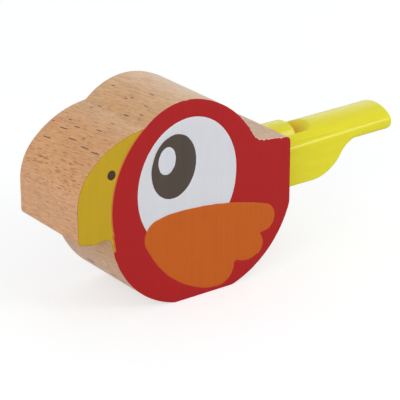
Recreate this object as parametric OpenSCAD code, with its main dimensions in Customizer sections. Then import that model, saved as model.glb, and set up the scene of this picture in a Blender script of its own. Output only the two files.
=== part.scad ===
// Bird call: a sawn hardwood bird with printed faces and a moulded pea whistle in its tail
// Lengths are in millimetres and angles in degrees
// X runs from beak to whistle, Z is up from the flat base, Y is across the thickness

/* [Wooden body] */
// Thickness of the wooden body, without the print
wood_thick = 25.8; // [16:0.2:40]
// Radius of the chest arc, low on the tail side
chest_r = 27.4; // [23:0.1:32]
// Depth to which the flat base cuts into the chest arc
chest_cut = 1.1; // [0.5:0.1:2]
// Distance of the centre of the chest arc behind the middle of the base
chest_x = 1.6; // [1:0.1:3]
// Radius of the belly arc, low on the beak side
belly_r = 25.1; // [22:0.1:29]
// Depth to which the flat base cuts into the belly arc
belly_cut = 0.7; // [0.4:0.1:2]
// Distance of the centre of the belly arc ahead of the middle of the base
belly_x = 2.8; // [2:0.1:4]
// Height of the centre of the arc over the nape
nape_z = 26.8; // [26:0.1:28]
// Distance of the centre of the nape arc ahead of the middle of the base
nape_x = 8.1; // [7:0.1:9]
// Radius of the nape arc
nape_r = 27.3; // [24:0.1:31]
// Radius of the forehead arc, which leads from the nape arc down to the beak
forehead_r = 17.9; // [17:0.1:19]
// Angle at which the nape arc becomes the forehead arc
crown_angle = 73.5; // [70:0.5:80]

/* [Tail block] */
// How far the sawn end of the tail stands inside the roundest part of the chest arc
tail_cut = 1.1; // [0.5:0.1:3]
// Height of the top of the tail at its sawn end, before its corner is rounded
tail_z = 36.9; // [34:0.1:40]
// Fall of the top of the tail towards its end
tail_fall = 7.5; // [4:0.1:10]
// Radius of the upper corner of the tail
tail_corner_r = 1.6; // [0.8:0.1:3]
// Radius of the hollow corner between the nape and the tail
tail_hollow_r = 2.5; // [1:0.1:4]

/* [Beak] */
// Distance from the middle of the base to the front of the beak
beak_x = 37.45; // [36:0.05:39]
// Height of the flat underside of the beak
beak_z = 22.85; // [22:0.05:24]
// Radius of the lower corner of the beak
beak_corner_r = 1.8; // [0.8:0.1:3]
// Radius of the hollow corner under the beak
throat_r = 1; // [0.5:0.1:2]
// Height at which the upright front of the beak begins to curve back
beak_turn_z = 32.15; // [30:0.05:34]
// Radius of the front of the beak
beak_front_r = 13.55; // [12:0.05:15]
// Radius of the ridge of the beak
beak_ridge_r = 25.1; // [23:0.1:27]
// Angle at which the front arc of the beak becomes the ridge arc
beak_bend_angle = 135; // [125:1:145]
// Radius of the hollow corner between beak and forehead
brow_r = 1.5; // [0.5:0.1:3]

/* [Printed faces] */
// Thickness of the printed film on each face
film_thick = 0.1; // [0.05:0.01:0.3]
// Width of the bare edge left between the print and the sawn outline
print_edge = 0.3; // [0.1:0.05:1]
// Distance ahead of the base middle to the centre of the arc between the beak and the red
cheek_x = 1.2; // [0:0.1:3]
// Height of the centre of the arc between the beak and the red
cheek_z = 28.5; // [26:0.1:31]
// Radius of the arc between the beak and the red
cheek_r = 26.4; // [23:0.1:28]
// Radius of the nostril dot
nostril_r = 1.15; // [0.6:0.05:1.5]
// Gap between the nostril dot and the arc of the cheek
nostril_gap = 0.75; // [0.4:0.05:2]
// Direction of the nostril dot from the centre of the cheek arc
nostril_angle = 157.8; // [150:0.1:175]

/* [Printed eye] */
// Lean of the eye
eye_lean = 5.7; // [0:0.1:10]
// Lean of the pupil
pupil_lean = 7.9; // [0:0.1:12]
// Lean of the glint
glint_lean = 6.2; // [0:0.1:10]

/* [Whistle outside] */
// Length of the whistle from the tail to the tip of the mouthpiece
whistle_len = 39.85; // [36:0.05:60]
// Width of the whistle
whistle_w = 14; // [12.6:0.1:20]
// Drop from the top of the tail to the seam between the two shells
seam_drop = 5.7; // [5:0.1:8]
// Depth of the belly of the whistle under the seam
whistle_depth = 12.1; // [11.6:0.1:14]
// Height of the crest of the mouthpiece over the seam
mouth_crest = 2.7; // [2.5:0.1:4]
// Depth of the underside of the mouthpiece below the seam
mouth_depth = 3.35; // [3.2:0.05:5]
// Rise of the arched mouthpiece from its side edge to its crest
mouth_rise = 2.5; // [1.5:0.1:2.6]
// Radius of the lower corners of the mouthpiece
mouth_corner_r = 2; // [0.5:0.1:3]
// Radius of the lower corner at the tip of the mouthpiece
tip_r = 1.5; // [0.5:0.1:1.6]
// Height of the crest of the hood behind the window, over the seam
hood_crest = 4.05; // [3.5:0.05:5]
// Rise of the arched hood from its side edge to its crest
hood_rise = 1.2; // [0.8:0.1:1.6]
// Length of the hood from the tail to the window
hood_len = 8.6; // [8:0.1:10]
// Distance from the tail to the centre of the round end of the belly
round_x = 11.6; // [11:0.1:13]
// Radius of the round end of the belly
round_r = 11.2; // [10.8:0.1:11.8]
// Radius of the hollow curve between belly and mouthpiece
chin_r = 8; // [5:0.1:10]

/* [Whistle inside] */
// Length of the window along the whistle
window_len = 2.5; // [1.5:0.1:4]
// Width of the bar left on each side of the window
window_side = 2.6; // [2.3:0.1:4]
// Length of the slope that leads down into the window
slope_len = 4.2; // [2:0.1:8]
// Thickness of the lip at the foot of the slope
lip_thick = 0.7; // [0.3:0.1:1.2]
// Wall thickness of the two shells
shell_wall = 1.4; // [1:0.1:1.5]
// Height of the air slot
slot_h = 1.6; // [1:0.1:1.8]
// Thickness of the wall on each side of the air slot
slot_side = 2.2; // [1.8:0.1:4]
// Radius of the round chamber
chamber_r = 5; // [4.6:0.1:5.2]
// Thickness of the wall between the chamber and the cored-out belly
chamber_wall = 1.2; // [0.8:0.1:1.6]
// Thickness of the windway plate
plate_thick = 1.5; // [1:0.1:1.8]
// Length of the windway plate
plate_len = 13; // [12.4:0.1:14]
// Gap left round the windway plate
plate_gap = 0.1; // [0.05:0.05:0.3]
// Depth of the blade under the hood, below the seam
blade_drop = 0.7; // [0.3:0.1:0.8]
// Thickness of the blade under the hood
blade_thick = 1; // [0.6:0.1:1.4]
// Radius of the pea
pea_r = 2.9; // [2.2:0.1:3.5]
// Gap between the pea and the wall that it rolls round
pea_gap = 0.3; // [0.3:0.05:0.6]

/* [Tenon and socket] */
// Radius of the tenon on the back of the whistle
tenon_r = 5; // [3.5:0.1:5.2]
// Length of the tenon
tenon_len = 12; // [6:0.5:20]
// Radius of the hollow in the tenon
tenon_bore_r = 3.6; // [1:0.1:3.6]
// Gap between the top of the tenon and the seam
tenon_drop = 0.2; // [0.1:0.1:1]
// Glue line round the tenon
glue_gap = 0.05; // [0.02:0.01:0.1]
// Space left at the bottom of the socket
socket_spare = 1; // [0.2:0.1:3]

/* [Hidden] */
round_fn = 96;
// Most degrees between two points of a drawn arc
arc_step = 12;
// Longest straight stretch of a drawn arc
arc_chord = 1.2;
// Overrun of a cut past the face that it opens
cut = 0.5;

// Places on the wooden outline
chest = [chest_x, chest_r - chest_cut];
belly = [-belly_x, belly_r - belly_cut];
tail_x = chest_x + chest_r - tail_cut;
nape = [-nape_x, nape_z];
forehead = nape + (nape_r - forehead_r) * [cos(crown_angle), sin(crown_angle)];
beak_front = [beak_front_r - beak_x, beak_turn_z];
beak_ridge = beak_front - (beak_ridge_r - beak_front_r) * [cos(beak_bend_angle), sin(beak_bend_angle)];
beak_corner = [beak_corner_r - beak_x, beak_z + beak_corner_r];
tail_along = [-cos(tail_fall), sin(tail_fall)];
tail_up = [sin(tail_fall), cos(tail_fall)];
tail_corner = [tail_x - tail_corner_r, tail_z - tail_corner_r * cos(tail_fall)];
tail_hollow = tail_corner + tail_up * (tail_corner_r + tail_hollow_r)
    + tail_along * reach(tail_corner + tail_up * (tail_corner_r + tail_hollow_r) - nape,
        tail_along, nape_r + tail_hollow_r, -1);
brow = meeting(forehead, forehead_r + brow_r, beak_ridge, beak_ridge_r + brow_r);
throat = [belly[0] - sqrt(pow(belly_r + throat_r, 2) - pow(belly[1] - beak_z + throat_r, 2)),
    beak_z - throat_r];

// Places on the printed faces
cheek = [-cheek_x, cheek_z];
nostril = cheek + (cheek_r + nostril_gap + nostril_r) * [cos(nostril_angle), sin(nostril_angle)];
// Each oval's centre from the centre of the nape arc, its half width and its half height,
// as shares of the radius of that arc
eye_shares = [0.125, 0.18, 0.553, 0.63];
pupil_shares = [-0.029, 0.375, 0.247, 0.308];
glint_shares = [-0.104, 0.447, 0.095, 0.132];
// The round that the wing fills, which fits both the chest and the head
wing_r = min(chest_r, nape_r);
wing = [chest_x, wing_r - chest_cut];
// Each arc of the wing: its centre from the centre of that round and its radius,
// as shares of the radius of the round, then the angles that it runs between
wing_shares = [
    [0.637, -0.366, 0.145, -60, 80],
    [-0.352, -3.234, 3.179, 71.5, 92],
    [-0.535, -0.253, 0.18, 112, 200],
    [0.26, 0.099, 1.044, 212, 256],
    [0.114, -0.733, 0.19, 255, 360],
    [0.458, -0.502, 0.245, 240, 300],
    [0.509, -0.608, 0.136, 305, 405]];

// Places on the whistle
seam_z = tail_z - seam_drop;
whistle_low_z = seam_z - whistle_depth;
mouth_top_z = seam_z + mouth_crest;
mouth_low_z = seam_z - mouth_depth;
hood_top_z = seam_z + hood_crest;
tenon_z = seam_z - tenon_drop - tenon_r;
tip_x = tail_x + whistle_len;
far_out = beak_x + tip_x;
half_w = whistle_w / 2;
window_w = whistle_w - 2 * window_side;
window_x = tail_x + hood_len;
slope_x = window_x + window_len;
mouth_arch_r = (half_w * half_w + mouth_rise * mouth_rise) / (2 * mouth_rise);
hood_arch_r = (window_w * window_w / 4 + hood_rise * hood_rise) / (2 * hood_rise);
belly_end = [tail_x + round_x, whistle_low_z + round_r];
chin = [belly_end[0] + sqrt(pow(round_r + chin_r, 2) - pow(belly_end[1] - mouth_low_z + chin_r, 2)),
    mouth_low_z - chin_r];
inner_w = whistle_w - 2 * shell_wall;
slot_w = whistle_w - 2 * slot_side;
chamber_x = tail_x + shell_wall + chamber_r;
chamber_z = whistle_low_z + shell_wall + chamber_r;
slot_z = seam_z - slot_h;
plate_z = slot_z - plate_thick;
pea_orbit = chamber_r - pea_r - pea_gap;

// How far along a unit direction a point travels from a start to reach a distance from zero
function reach(start, along, distance, side) =
    let (b = start * along, c = start * start - distance * distance)
    -b + side * sqrt(b * b - c);
// The upper left point at one distance from a first centre and another from a second
function meeting(p, rp, q, rq) =
    let (d = norm(q - p), a = (rp * rp - rq * rq + d * d) / (2 * d), along = (q - p) / d)
    p + along * a + [along[1], -along[0]] * sqrt(rp * rp - a * a);
// Direction from one point to another, from zero to a full turn
function heading(p, q) = let (a = atan2(q[1] - p[1], q[0] - p[0])) a < 0 ? a + 360 : a;
// Points along an arc, turning either way
function arc(centre, r, from, to) =
    let (sweep = abs(to - from))
    let (steps = max(2, ceil(sweep / arc_step), ceil(sweep * r * PI / 180 / arc_chord)))
    [for (i = [0 : steps]) let (a = from + (to - from) * i / steps) centre + r * [cos(a), sin(a)]];
// Angle at which an arc comes down to a level
function level_angle(centre, r, z) = asin((z - centre[1]) / r);

// The sawn outline, drawn in by an edge all round
function bird_outline(edge) = concat(
    arc(chest, chest_r - edge, level_angle(chest, chest_r - edge, edge),
        -acos((tail_x - chest_x - edge) / (chest_r - edge))),
    arc(tail_corner, tail_corner_r - min(edge, tail_corner_r / 2), 0, 90 - tail_fall),
    arc(tail_hollow, tail_hollow_r + edge, 270 - tail_fall, heading(tail_hollow, nape)),
    arc(nape, nape_r - edge, heading(nape, tail_hollow), crown_angle),
    arc(forehead, forehead_r - edge, crown_angle, heading(forehead, brow)),
    arc(brow, brow_r + edge, heading(brow, forehead), heading(brow, beak_ridge)),
    arc(beak_ridge, beak_ridge_r - edge, heading(beak_ridge, brow), beak_bend_angle),
    arc(beak_front, beak_front_r - edge, beak_bend_angle, 180),
    arc(beak_corner, beak_corner_r - edge, 180, 270),
    arc(throat, throat_r + edge, 90, level_angle(throat, belly_r + throat_r, belly[1])),
    arc(belly, belly_r - edge, heading(belly, throat), 180 - level_angle(belly, belly_r - edge, edge)));

// The three-lobed wing, arc after arc
wing_outline = [for (share = wing_shares)
    each arc(wing + wing_r * [share[0], share[1]], wing_r * share[2], share[3], share[4])];

// An upright outline pushed across the thickness, between two distances
module across(from, to) {
    translate([0, to, 0]) rotate([90, 0, 0]) linear_extrude(to - from) children();
}

// A round rod along X
module rod_x(from, to, z, r) {
    translate([from, 0, z]) rotate([0, 90, 0]) cylinder(h = to - from, r = r, $fn = round_fn);
}

// A box centred across the thickness
module slab(from_x, to_x, w, from_z, to_z) {
    translate([from_x, -w / 2, from_z]) cube([to_x - from_x, w, to_z - from_z]);
}

// A leaning oval on the head
module oval(shares, lean) {
    translate(nape + nape_r * [shares[0], shares[1]]) rotate(-lean)
        scale(nape_r * [shares[2], shares[3]]) circle(1, $fn = round_fn);
}

module wood_body() {
    color("burlywood") difference() {
        across(-wood_thick / 2, wood_thick / 2) polygon(bird_outline(0));
        rod_x(tail_x - tenon_len - socket_spare, tail_x + cut, tenon_z, tenon_r + glue_gap);
    }
}

module print_outline() {
    polygon(bird_outline(print_edge));
}
module eye_shape() {
    oval(eye_shares, eye_lean);
}
module pupil_shape() {
    oval(pupil_shares, pupil_lean);
}
module glint_shape() {
    oval(glint_shares, glint_lean);
}
module nostril_shape() {
    translate(nostril) circle(nostril_r, $fn = round_fn);
}
module wing_shape() {
    polygon(wing_outline);
}
// All that lies ahead of the cheek and over the throat
module beak_shape() {
    difference() {
        translate([-far_out, beak_z - throat_r]) square([far_out + brow[0], far_out]);
        translate(cheek) circle(cheek_r, $fn = round_fn);
    }
}

module print_film(side) {
    if (side < 0) {
        across(-wood_thick / 2 - film_thick, -wood_thick / 2) children();
    } else {
        across(wood_thick / 2, wood_thick / 2 + film_thick) children();
    }
}

module red_print(side) {
    color("firebrick") print_film(side) difference() {
        print_outline();
        beak_shape();
        eye_shape();
        wing_shape();
    }
}
module beak_print(side) {
    color("goldenrod") print_film(side) difference() {
        intersection() {
            print_outline();
            beak_shape();
        }
        nostril_shape();
    }
}
module nostril_print(side) {
    color("saddlebrown") print_film(side) nostril_shape();
}
module eye_print(side) {
    color("gainsboro") print_film(side) difference() {
        eye_shape();
        wing_shape();
        pupil_shape();
    }
}
module pupil_print(side) {
    color("dimgray") print_film(side) difference() {
        pupil_shape();
        glint_shape();
    }
}
module glint_print(side) {
    color("whitesmoke") print_film(side) glint_shape();
}
module wing_print(side) {
    color("chocolate") print_film(side) wing_shape();
}

// The side view of the belly, drawn in by a wall
module whistle_belly(wall) {
    polygon(concat(
        [[tail_x + wall, whistle_low_z + wall]],
        arc(belly_end, round_r - wall, 270, heading(belly_end, chin)),
        arc(chin, chin_r + wall, heading(chin, belly_end), 90),
        [[chin[0], seam_z], [tail_x + wall, seam_z]]));
}

// The end view of the mouthpiece below the seam
module mouth_end() {
    side_z = mouth_low_z + mouth_corner_r;
    intersection() {
        translate([-half_w, mouth_low_z]) square([whistle_w, seam_z - mouth_low_z]);
        union() {
            translate([-half_w, side_z]) square([whistle_w, seam_z - side_z]);
            square([whistle_w - 2 * mouth_corner_r, 2 * seam_z], center = true);
            for (side = [-1, 1]) {
                translate([side * (half_w - mouth_corner_r), side_z]) circle(mouth_corner_r, $fn = round_fn);
            }
        }
    }
}

// The side view of the mouthpiece below the seam
module mouth_side() {
    translate([tail_x, mouth_low_z]) square([whistle_len - tip_r, mouth_depth]);
    translate([tail_x, mouth_low_z + tip_r]) square([whistle_len, mouth_depth - tip_r]);
    translate([tip_x - tip_r, mouth_low_z + tip_r]) circle(tip_r, $fn = round_fn);
}

// An end view pushed along X, between two places
module along_x(from, to) {
    translate([from, 0, 0]) rotate([90, 0, 90]) linear_extrude(to - from) children();
}

module whistle_lower_shell() {
    color("gold") difference() {
        union() {
            across(-half_w, half_w) whistle_belly(0);
            intersection() {
                along_x(tail_x, tip_x) mouth_end();
                across(-half_w, half_w) mouth_side();
            }
            rod_x(tail_x - tenon_len, tail_x + cut, tenon_z, tenon_r);
        }
        rod_x(tail_x - tenon_len - cut, tail_x, tenon_z, tenon_bore_r);
        across(-inner_w / 2, inner_w / 2) translate([chamber_x, chamber_z]) circle(chamber_r, $fn = round_fn);
        slab(chamber_x - chamber_r / 2, slope_x, inner_w, chamber_z, seam_z + cut);
        across(-inner_w / 2, inner_w / 2) difference() {
            intersection() {
                whistle_belly(shell_wall);
                translate([chamber_x, whistle_low_z]) square([far_out, plate_z - whistle_low_z]);
            }
            translate([chamber_x, chamber_z]) circle(chamber_r + chamber_wall, $fn = round_fn);
        }
        slab(slope_x, slope_x + plate_len + plate_gap, slot_w, plate_z, seam_z + cut);
        slab(slope_x, tip_x + cut, slot_w, slot_z, seam_z + cut);
    }
}

module whistle_upper_shell() {
    color("yellow") difference() {
        union() {
            intersection() {
                rod_x(tail_x, window_x, hood_top_z - hood_arch_r, hood_arch_r);
                slab(tail_x, window_x, window_w, seam_z, hood_top_z);
            }
            intersection() {
                rod_x(tail_x, tip_x, mouth_top_z - mouth_arch_r, mouth_arch_r);
                slab(tail_x, tip_x, whistle_w, seam_z, mouth_top_z);
            }
            slab(window_x - blade_thick, window_x, window_w, seam_z - blade_drop, seam_z + cut);
        }
        slab(window_x, slope_x, window_w, seam_z - cut, hood_top_z);
        across(-window_w / 2, window_w / 2) polygon([
            [slope_x - cut, seam_z + lip_thick],
            [slope_x, seam_z + lip_thick],
            [slope_x + slope_len, mouth_top_z],
            [slope_x - cut, mouth_top_z + cut]]);
    }
}

module windway_plate() {
    color("khaki") slab(slope_x, slope_x + plate_len, slot_w - 2 * plate_gap, plate_z, slot_z);
}

module pea() {
    color("peru") translate([chamber_x, 0, chamber_z - pea_orbit]) sphere(pea_r, $fn = round_fn);
}

wood_body();
red_print(-1);  // red_print_near
beak_print(-1);  // beak_print_near
nostril_print(-1);  // nostril_print_near
eye_print(-1);  // eye_print_near
pupil_print(-1);  // pupil_print_near
glint_print(-1);  // glint_print_near
wing_print(-1);  // wing_print_near
red_print(1);  // red_print_far
beak_print(1);  // beak_print_far
nostril_print(1);  // nostril_print_far
eye_print(1);  // eye_print_far
pupil_print(1);  // pupil_print_far
glint_print(1);  // glint_print_far
wing_print(1);  // wing_print_far
whistle_lower_shell();
whistle_upper_shell();
windway_plate();
pea();
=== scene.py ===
"""A printed wooden bird call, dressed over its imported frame. Sizes are in millimetres until
a piece is finished, apart from the stage, the lamps and the camera."""
import math

import bmesh
import bpy
import numpy as np
from mathutils import Matrix, Vector
from mathutils.geometry import delaunay_2d_cdt


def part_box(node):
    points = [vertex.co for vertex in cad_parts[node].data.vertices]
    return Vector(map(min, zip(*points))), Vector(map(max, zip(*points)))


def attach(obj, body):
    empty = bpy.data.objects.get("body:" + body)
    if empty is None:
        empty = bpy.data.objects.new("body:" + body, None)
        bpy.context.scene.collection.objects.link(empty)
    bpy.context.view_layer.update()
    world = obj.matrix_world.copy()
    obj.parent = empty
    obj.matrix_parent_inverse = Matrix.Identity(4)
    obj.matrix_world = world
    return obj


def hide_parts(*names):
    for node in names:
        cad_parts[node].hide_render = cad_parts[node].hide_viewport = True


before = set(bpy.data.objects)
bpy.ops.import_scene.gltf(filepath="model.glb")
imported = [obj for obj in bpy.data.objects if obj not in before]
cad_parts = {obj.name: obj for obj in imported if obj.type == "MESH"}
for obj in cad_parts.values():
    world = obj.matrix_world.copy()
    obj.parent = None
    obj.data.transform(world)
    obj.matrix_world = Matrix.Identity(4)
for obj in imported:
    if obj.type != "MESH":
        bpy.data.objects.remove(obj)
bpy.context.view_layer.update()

MM = 0.001


def node_box(name):
    """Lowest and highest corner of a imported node, in millimetres."""
    low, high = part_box(name)
    return np.array(low) / MM, np.array(high) / MM


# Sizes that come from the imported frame
BLOCK_LOW, BLOCK_HIGH = node_box("wood_body")
FACE_Y = BLOCK_HIGH[1]
TAIL_X = BLOCK_HIGH[0]
BEAK_X = BLOCK_LOW[0]
FILM = node_box("red_print_far")[1][1] - FACE_Y
LOWER_HIGH = node_box("whistle_lower_shell")[1]
UPPER_HIGH = node_box("whistle_upper_shell")[1]
TIP_X = UPPER_HIGH[0]
HALF_W = LOWER_HIGH[1]
SEAM_Z = LOWER_HIGH[2]
HOOD_Z = UPPER_HIGH[2]
PLATE_LOW, PLATE_HIGH = node_box("windway_plate")
PEA_LOW, PEA_HIGH = node_box("pea")

# The sawn outline: centres and radii of its arcs, and the directions where they change
CHEST = (1.6, 26.3)
CHEST_R = 27.4
BELLY = (-2.8, 24.4)
BELLY_R = 25.1
NAPE = (-8.1, 26.8)
NAPE_R = 27.3
CROWN_ANGLE = 73.5
FOREHEAD_R = 17.9
TAIL_Z = 36.9
TAIL_FALL = 7.5
TAIL_CORNER_R = 1.6
TAIL_HOLLOW_R = 5.0
BEAK_Z = 22.85
BEAK_CORNER_R = 1.5
JAW = (-32.3, 31.4)
JAW_R = 9.2
THROAT_R = 1.9
BEAK_TURN_Z = 32.15
BEAK_FRONT_R = 13.55
BEAK_RIDGE_R = 25.1
BEAK_BEND = 135
BROW_R = 1.5
# Step between the points of the outline, the width of its eased edge, and the depth of the
# slight unevenness left by sanding
FINE = 0.2
EASE = 0.07
SANDING = 0.04
# The rings that close a flat face, as shares of the way out from its middle
FACE_SHARES = (0, 0.35, 0.7, 0.9)
# Radius and height of the socket drilled in the tail, and its depth
SOCKET_R = 5.05
SOCKET_Z = 26.0
SOCKET_DEEP = 13.0

# The lean of the grain, and the flecks that the photograph shows: places measured there,
# rounded and grouped. Each kind has half a length and half a width, then where its
# flecks lie: the direction of each from the middle of the nape's arc, in degrees, and its
# place across the thickness
GRAIN_TURN = (-0.06, 0, 0.1)
# The last kind holds no flecks: its two marks are painted shade along the lower edge of the belly
DARK_FLECKS_AND_SHADE = (
    (1.9, 0.18, ((137, 6.5), (140, 0.5), (145, 9), (141, -5.5), (141, -10))),
    (1.2, 0.19, ((133, 3), (129, -4), (111, -4), (92, -4))),
    (0.8, 0.16, ((131, 7.5), (137, -2.5), (136, 12), (121, -4.5), (117, 7.5), (113, 6.5))),
    (0.8, 0.16, ((107, -8.5), (102, 1), (101, -7), (100, -0.5), (98, 9))),
    (1.8, 0.7, ((230, 4),)),
    (1.8, 0.35, ((232, -5.5), (233, -9.5))))
RUST_FLECKS = (
    (1.1, 0.19, ((154, 7), (154, 4.5), (151, -2), (149, -7))),
    (1.0, 0.18, ((157, 6), (157, -2), (157, -9), (159, -6.5))))
# Tones over the patches of the wood, for the orange ridge of the beak, its pink front, the
# pale underside, a painted sheen that makes the crown paler and a painted shade that makes the
# top of the tail darker: the spans along and in height over which each comes in, its strength
# and its colour as a screen shows it
BEECH_TONES_SHEEN_AND_SHADE = (
    ((-20, -28), (33, 38), 0.8, (225, 158, 98)),
    ((-31, -36), (39, 34), 0.75, (240, 174, 124)),
    (None, (22, 6), 0.75, (240, 197, 164)),
    ((-13, 6), (30, 40), 0.8, (209, 185, 152)),
    ((10, 18), (34, 36), 0.8, (190, 155, 122)))

# The print: bare edge round it, the arc of the cheek, the nostril
PRINT_EDGE = 0.07
CHEEK = (-1.2, 28.5)
CHEEK_R = 26.4
NOSTRIL = (-27.4, 39.19)
NOSTRIL_R = 1.15
# The angles that the arc of the cheek runs between, the points of its lower end as measured
# on the photograph, and how far ahead of the beak and how high the line closes
CHEEK_TURNS = (118, 190.5)
CHEEK_END = ((-27.12, 22.2), (-26.97, 21), (-26.8, 19.9), (-26.65, 18.9), (-27.5, 18.4))
CHEEK_AHEAD = 6
CHEEK_OVER_Z = 60
# The thin orange line along the cheek: it follows the arc and, lower down, a line whose
# x is its foot less its lean times the height. Each pair is where a soft step starts and ends
HALO_FOOT_X = -23.82
HALO_LEAN = 0.149
HALO_TURN_Z = (22.6, 23.4)
HALO_LOW_Z = (18.5, 19.2)
HALO_X = (-15, -18)
HALO_WIDTH = (0.26, 0.12)
# Each oval of the eye: centre, half width, half height and lean
EYE = (-4.69, 31.71, 15.1, 17.2, 5.7)
PUPIL = (-8.89, 37.04, 6.74, 8.41, 7.9)
GLINT = (-10.94, 39.0, 2.59, 3.6, 6.2)
# The three-lobed wing: middle and radius of the round that it fills, then for each arc
# its centre and radius as shares of that radius and the angles that it runs between
WING = (1.6, 26.2)
WING_R = 27.3
WING_SHARES = (
    (0.637, -0.366, 0.145, -60, 80),
    (-0.352, -3.234, 3.179, 71.5, 92),
    (-0.535, -0.253, 0.18, 112, 200),
    (0.26, 0.099, 1.044, 212, 256),
    (0.114, -0.733, 0.19, 255, 360),
    (0.458, -0.502, 0.245, 240, 300),
    (0.509, -0.608, 0.136, 305, 405))
# Step between the points of a printed line, how far such a line wanders, and the narrow
# slope of ink beside it
PRINT_FINE = 0.25
INK_WANDER = 0.04
INK_SLOPE = 0.18
INK_RIM_SHARE = 0.5
# Step and lowest row of the points that fill the printed face
FILL_STEP = 1.3
FILL_LOW_Z = 0.5
# Where the print has chipped: over the tail, and over the nape in front of it, each from a
# place along and a height on. It stops short of the tail's end and grows along the nape.
# Then how deep it goes on each and in lone spots, how many teeth the jagged line has, and
# the height of the waves above which a spot begins
CHIP_TAIL_X = 16.2
CHIP_TAIL_Z = 35
CHIP_STOP = 1.2
CHIP_NAPE_X = 2
CHIP_NAPE_Z = 38
CHIP_NAPE_RUN = 12
CHIP_TAIL = 0.34
CHIP_NAPE = 0.14
CHIP_SPOT = 0.4
CHIP_TEETH = 420
CHIP_SPOT_LEVEL = 0.62

# The whistle outside
MOUTH_Z = 33.9
MOUTH_LOW_Z = 27.95
# Height of the side edge of the arched top at the tail and at the tip
EDGE_TAIL_Z = 29.67
EDGE_TIP_Z = 31.28
SIDE_R = 2.2
# The round end of the belly, and the hollow chin that touches it and the mouthpiece
ROUND = (40.4, 30.9)
ROUND_R = 11.5
BELLY_Z = ROUND[1] - ROUND_R
CHIN_R = 6.4
CHIN_Z = MOUTH_LOW_Z - CHIN_R
CHIN = (ROUND[0] + math.sqrt((ROUND_R + CHIN_R) ** 2 - (ROUND[1] - CHIN_Z) ** 2), CHIN_Z)
BELLY_CORNER_R = 0.5
MOUTH_CORNER_R = 2.0
TIP_LOW_R = 1.5
TIP_TOP_R = 0.35
TIP_SIDE_R = 0.4
# Share of the height that the rolled top loses at the tip, and the stretch by the chin
# over which the lower corner grows from the belly's radius to the mouthpiece's
TIP_DROP_SHARE = 0.25
CORNER_LEAD = 4
CORNER_RUN = 7
# The most of the upright side that the lower corner may take
CORNER_SHARE = 0.6
PARTING = 0.08
# Places of stations along the whistle, besides those that its curves give
BELLY_STATIONS = (31, 34, 37)
MOUTH_STATIONS = (58, 60, 62, 64)
HOOD_STATIONS = (29, 31, 33, 35)
WINDOW_STATIONS = (37, 37.5, 38, 38.5)
SLOPE_STATIONS_END = 44.6
# Rows across the upper shell: how far beside the window, and two out on the arch
WINDOW_ROWS = (0.06, 0.15, 0.3, 0.5)
ARCH_ROWS = (5.3, 5.7)
# How far a row or station keeps off an edge that it must not lie on
CLEAR = 0.01
# The hood, the window and the slope that leads down into it
HOOD_SIDE_Y = 4.1
HOOD_SIDE_Z = 34.05
HOOD_RIM_R = 0.75
HOOD_FOOT = 0.75
HOOD_FOOT_EASE = 1.3
HOOD_BACK = 0.03
WINDOW_X = 36.5
SLOPE_X = 39.0
SLOPE_LEN = 4.2
LIP_Z = 31.6
WINDOW_Y = 4.1
SCOOP_EASE = 0.35
SLOPE_SOFT = 0.02
BLADE_THICK = 1.0
BLADE_Z = 30.5
# The whistle inside
INNER_Y = 5.6
CHAMBER = (34.3, 25.5)
CHAMBER_R = 5.0
CHAMBER_WALL = 1.2
SHELL_WALL = 1.4
SLOT_Y = 4.8
SLOT_Z = 29.6
TENON_R = 5.0
TENON_LEN = 12.0
TENON_BORE_R = 3.6
TENON_ROOT = 0.7
PLATE_CORNER_R = 0.2
PLATE_PLAY = 0.1
# How far a tool runs out past what it cuts
OVERRUN = 1

# The cork ball: places from pole to pole and round it, how many seeded waves it has and how
# fine they are, and how deep its pits go
CORK_GRID = (60, 121)
CORK_WAVES = 14
CORK_FINE = 9
CORK_PIT = 0.16

# The painted shade down in the window, a deeper orange: twice the radius of the arch that it
# lies under, the depths between which it comes in, and the places between which it fades out
# along the slope
RECESS_SHADE_ARCH = 19.0
RECESS_SHADE_Z = (0.15, 1.9)
RECESS_SHADE_END_X = (43.6, 42.2)

# The stage, the lamps and the camera, in metres and watts
FLOOR_LIFT = 0.6
SKY = 0.6
# Each lamp: its place, the side of its square and its watts
LAMPS = {
    "back_lamp": ((0.65, 0.75, 0.42), 0.6, 0.8),
    "front_lamp": ((-0.85, -0.62, 0.4), 0.7, 4.2),
    "side_lamp": ((0.55, -0.74, 0.36), 0.32, 2.75)}
LAMP_TARGET = (0.01, 0, 0.03)
CAMERA_PLACE = (-0.2797, -0.3906, 0.2232)
CAMERA_AHEAD = (0.5476, 0.7419, -0.3870)
CAMERA_LENS = 183.24


# Curves

def heading(start, end):
    """Direction from one point to another in degrees, from zero to a full turn."""
    return math.degrees(math.atan2(end[1] - start[1], end[0] - start[0])) % 360


def level_angle(centre, radius, level):
    """Angle on a circle, right of its middle, at which it reaches a level."""
    return math.degrees(math.asin((level - centre[1]) / radius))


def arc(centre, radius, start, end, step=FINE):
    """Points on a circle from one angle to another: centre plus radius times (cosine, sine)."""
    count = max(6, math.ceil(math.radians(abs(end - start)) * radius / step))
    angle = np.radians(np.linspace(start, end, count + 1))
    return np.asarray(centre) + radius * np.stack([np.cos(angle), np.sin(angle)], 1)


def soft(share):
    """A share held from 0 to 1 with a soft start and end: its square times three less its
    double."""
    share = np.clip(share, 0, 1)
    return share * share * (3 - 2 * share)


def quarter(x, end, radius):
    """What is left of a radius along a quarter round that stops at an end: the root of its
    square less the square of the way past the start of the round."""
    past = np.clip(x - (end - radius), 0, radius)
    return np.sqrt(radius ** 2 - past ** 2)


def reach(start, along, distance):
    """First place along a line from start, by the quadratic formula, that far from zero."""
    half = float(np.dot(start, along))
    return -half - math.sqrt(half * half - float(np.dot(start, start)) + distance * distance)


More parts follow.
